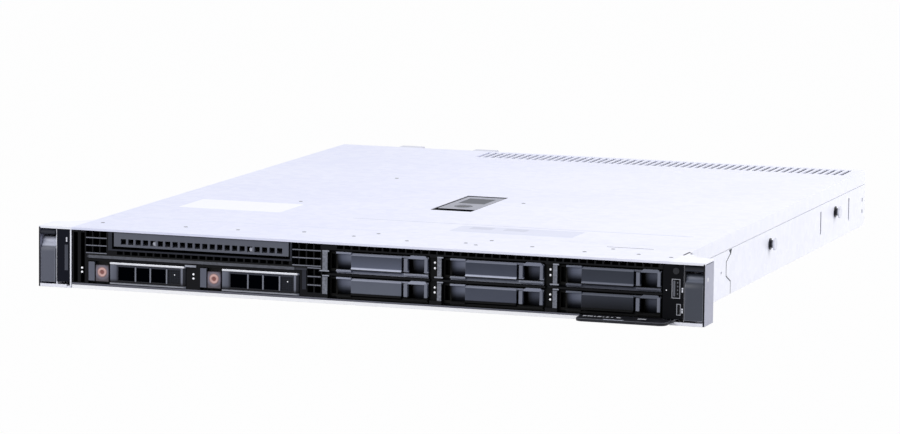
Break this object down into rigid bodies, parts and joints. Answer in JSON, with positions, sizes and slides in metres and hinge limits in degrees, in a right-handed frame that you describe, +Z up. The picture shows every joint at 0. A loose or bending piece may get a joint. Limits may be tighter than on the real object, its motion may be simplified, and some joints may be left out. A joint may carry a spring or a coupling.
{
  "type": "rack server",
  "caption": "One-unit rack server with ears and slam latches, drive carriers and blanks, a sliding cover, fans and plug-in power supplies.",
  "frame": {"origin": "middle of the chassis pan's underside", "axes": "+X to the right of someone facing the front, +Y from the front to the rear, +Z up"},
  "size_m": [0.482, 0.5988, 0.0428],
  "materials": {
    "shell": "fine satin powder coat, pale blue grey",
    "pan": "satin galvanised look",
    "charcoal": "fine-grained charcoal plastic",
    "grey_plastic": "satin mid-grey plastic",
    "black_plastic": "satin black plastic",
    "light": "translucent grey light guide",
    "release": "satin grey-pink plastic with a red ring",
    "steel": "bare steel",
    "aluminium": "milled fins",
    "board": "solder-mask green",
    "port": "nickel-plated shells"
  },
  "bodies": {
    "chassis": {"chassis_pan": "pan", "rear_panel": "pan", "front_top_plate": "shell", "drive_cage": "pan", "front_grille": "charcoal", "left_ear": "shell", "right_ear": "shell", "slam_latch_pins": "steel", "rack_screws": "steel", "left_control_panel": "black_plastic", "status_light_bar": "light", "right_control_panel": "black_plastic", "front_ports": "port", "drive_backplane": "board", "fan_frames": "black_plastic", "motherboard": "board", "memory_modules": "board", "heat_sinks": "aluminium", "air_shroud": "black_plastic", "slot_covers": "pan", "rear_ports": "port", "rail_studs": "steel"},
    "cover": {"top_cover": "shell", "cover_latch_base": "black_plastic"},
    "cover_lever": {"cover_latch_lever": "grey_plastic"},
    "cover_lock": {"cover_lock_screw": "steel"},
    "optical": {"optical_blank": "grey_plastic"},
    "left_latch": {"left_slam_latch": "grey_plastic"},
    "right_latch": {"right_slam_latch": "charcoal"},
    "power": {"power_button": "black_plastic"},
    "tag": {"information_tag": "black_plastic"},
    "id_button": {"rear_id_button": "black_plastic"},
    "carrier_1": {"drive_carrier_1": "charcoal", "drive_1": "aluminium"},
    "handle_1": {"carrier_handle_1": "charcoal"},
    "release_1": {"carrier_button_1": "release"},
    "carrier_2": {"drive_carrier_2": "charcoal", "drive_2": "aluminium"},
    "handle_2": {"carrier_handle_2": "charcoal"},
    "release_2": {"carrier_button_2": "release"},
    "blank_1": {"drive_blank_1": "charcoal"},
    "blank_2": {"drive_blank_2": "charcoal"},
    "blank_3": {"drive_blank_3": "charcoal"},
    "blank_4": {"drive_blank_4": "charcoal"},
    "blank_5": {"drive_blank_5": "charcoal"},
    "blank_6": {"drive_blank_6": "charcoal"},
    "fan_1": {"fan_rotor_1": "black_plastic"},
    "fan_2": {"fan_rotor_2": "black_plastic"},
    "fan_3": {"fan_rotor_3": "black_plastic"},
    "fan_4": {"fan_rotor_4": "black_plastic"},
    "fan_5": {"fan_rotor_5": "black_plastic"},
    "fan_6": {"fan_rotor_6": "black_plastic"},
    "supply_1": {"power_supply_1": "steel", "supply_handle_1": "black_plastic"},
    "supply_1_latch": {"supply_latch_1": "black_plastic"},
    "supply_1_fan": {"supply_fan_rotor_1": "black_plastic"},
    "supply_2": {"power_supply_2": "steel", "supply_handle_2": "black_plastic"},
    "supply_2_latch": {"supply_latch_2": "black_plastic"},
    "supply_2_fan": {"supply_fan_rotor_2": "black_plastic"}
  },
  "joints": [
    {"name": "cover_slide", "type": "slide", "parent": "chassis", "child": "cover", "axis": [0, 1, 0], "range_m": [0, 0.012]},
    {"name": "cover_lever_lift", "type": "hinge", "parent": "cover", "child": "cover_lever", "pos_m": [-0.0025, -0.0023, 0.0408], "axis": [-1, 0, 0], "range_deg": [0, 90]},
    {"name": "cover_lock_turn", "type": "hinge", "parent": "cover_lever", "child": "cover_lock", "pos_m": [-0.0025, -0.0566, 0.042], "axis": [0, 0, 1], "range_deg": [0, 90]},
    {"name": "left_latch_open", "type": "hinge", "parent": "chassis", "child": "left_latch", "pos_m": [-0.23425, -0.2707, 0.031], "axis": [-1, 0, 0], "range_deg": [0, 75], "stiffness_Nm_per_rad": 0.02},
    {"name": "right_latch_open", "type": "hinge", "parent": "chassis", "child": "right_latch", "pos_m": [0.23335, -0.2707, 0.031], "axis": [-1, 0, 0], "range_deg": [0, 75], "stiffness_Nm_per_rad": 0.02},
    {"name": "optical_blank_out", "type": "slide", "parent": "chassis", "child": "optical", "axis": [0, -1, 0], "range_m": [0, 0.03]},
    {"name": "tag_slide", "type": "slide", "parent": "chassis", "child": "tag", "axis": [0, -1, 0], "range_m": [-0.014, 0.04]},
    {"name": "power_button_press", "type": "slide", "parent": "chassis", "child": "power", "axis": [0, 1, 0], "range_m": [0, 0.0008], "stiffness_N_per_m": 250},
    {"name": "id_button_press", "type": "slide", "parent": "chassis", "child": "id_button", "axis": [0, -1, 0], "range_m": [0, 0.0008], "stiffness_N_per_m": 250},
    {"name": "carrier_1_slide", "type": "slide", "parent": "chassis", "child": "carrier_1", "axis": [0, -1, 0], "range_m": [0, 0.12]},
    {"name": "carrier_1_handle", "type": "hinge", "parent": "carrier_1", "child": "handle_1", "pos_m": [-0.1328, -0.2758, 0.01202], "axis": [0, 0, 1], "range_deg": [0, 60]},
    {"name": "carrier_1_release", "type": "slide", "parent": "carrier_1", "child": "release_1", "axis": [0, 1, 0], "range_m": [0, 0.0018], "stiffness_N_per_m": 200},
    {"name": "carrier_2_slide", "type": "slide", "parent": "chassis", "child": "carrier_2", "axis": [0, -1, 0], "range_m": [0, 0.12]},
    {"name": "carrier_2_handle", "type": "hinge", "parent": "carrier_2", "child": "handle_2", "pos_m": [-0.0492, -0.2758, 0.01202], "axis": [0, 0, 1], "range_deg": [0, 60]},
    {"name": "carrier_2_release", "type": "slide", "parent": "carrier_2", "child": "release_2", "axis": [0, 1, 0], "range_m": [0, 0.0018], "stiffness_N_per_m": 200},
    {"name": "blank_1_slide", "type": "slide", "parent": "chassis", "child": "blank_1", "axis": [0, -1, 0], "range_m": [0, 0.032]},
    {"name": "blank_2_slide", "type": "slide", "parent": "chassis", "child": "blank_2", "axis": [0, -1, 0], "range_m": [0, 0.032]},
    {"name": "blank_3_slide", "type": "slide", "parent": "chassis", "child": "blank_3", "axis": [0, -1, 0], "range_m": [0, 0.032]},
    {"name": "blank_4_slide", "type": "slide", "parent": "chassis", "child": "blank_4", "axis": [0, -1, 0], "range_m": [0, 0.032]},
    {"name": "blank_5_slide", "type": "slide", "parent": "chassis", "child": "blank_5", "axis": [0, -1, 0], "range_m": [0, 0.032]},
    {"name": "blank_6_slide", "type": "slide", "parent": "chassis", "child": "blank_6", "axis": [0, -1, 0], "range_m": [0, 0.032]},
    {"name": "fan_1_spin", "type": "hinge", "parent": "chassis", "child": "fan_1", "pos_m": [-0.165, -0.1043, 0.0208], "axis": [0, 1, 0], "continuous": true},
    {"name": "fan_2_spin", "type": "hinge", "parent": "chassis", "child": "fan_2", "pos_m": [-0.099, -0.1043, 0.0208], "axis": [0, 1, 0], "continuous": true},
    {"name": "fan_3_spin", "type": "hinge", "parent": "chassis", "child": "fan_3", "pos_m": [-0.033, -0.1043, 0.0208], "axis": [0, 1, 0], "continuous": true},
    {"name": "fan_4_spin", "type": "hinge", "parent": "chassis", "child": "fan_4", "pos_m": [0.033, -0.1043, 0.0208], "axis": [0, 1, 0], "continuous": true},
    {"name": "fan_5_spin", "type": "hinge", "parent": "chassis", "child": "fan_5", "pos_m": [0.099, -0.1043, 0.0208], "axis": [0, 1, 0], "continuous": true},
    {"name": "fan_6_spin", "type": "hinge", "parent": "chassis", "child": "fan_6", "pos_m": [0.165, -0.1043, 0.0208], "axis": [0, 1, 0], "continuous": true},
    {"name": "supply_1_slide", "type": "slide", "parent": "chassis", "child": "supply_1", "axis": [0, 1, 0], "range_m": [0, 0.19]},
    {"name": "supply_1_release", "type": "slide", "parent": "supply_1", "child": "supply_1_latch", "axis": [1, 0, 0], "range_m": [0, 0.0015], "stiffness_N_per_m": 300},
    {"name": "supply_1_fan_spin", "type": "hinge", "parent": "supply_1", "child": "supply_1_fan", "pos_m": [-0.1948, 0.2667, 0.0208], "axis": [0, 1, 0], "continuous": true},
    {"name": "supply_2_slide", "type": "slide", "parent": "chassis", "child": "supply_2", "axis": [0, 1, 0], "range_m": [0, 0.19]},
    {"name": "supply_2_release", "type": "slide", "parent": "supply_2", "child": "supply_2_latch", "axis": [1, 0, 0], "range_m": [0, 0.0015], "stiffness_N_per_m": 300},
    {"name": "supply_2_fan_spin", "type": "hinge", "parent": "supply_2", "child": "supply_2_fan", "pos_m": [-0.1318, 0.2667, 0.0208], "axis": [0, 1, 0], "continuous": true}
  ],
  "couplings": [
    {"joint": "cover_lever_lift", "follows": "cover_slide", "rad_per_m": 130.9}
  ]
}
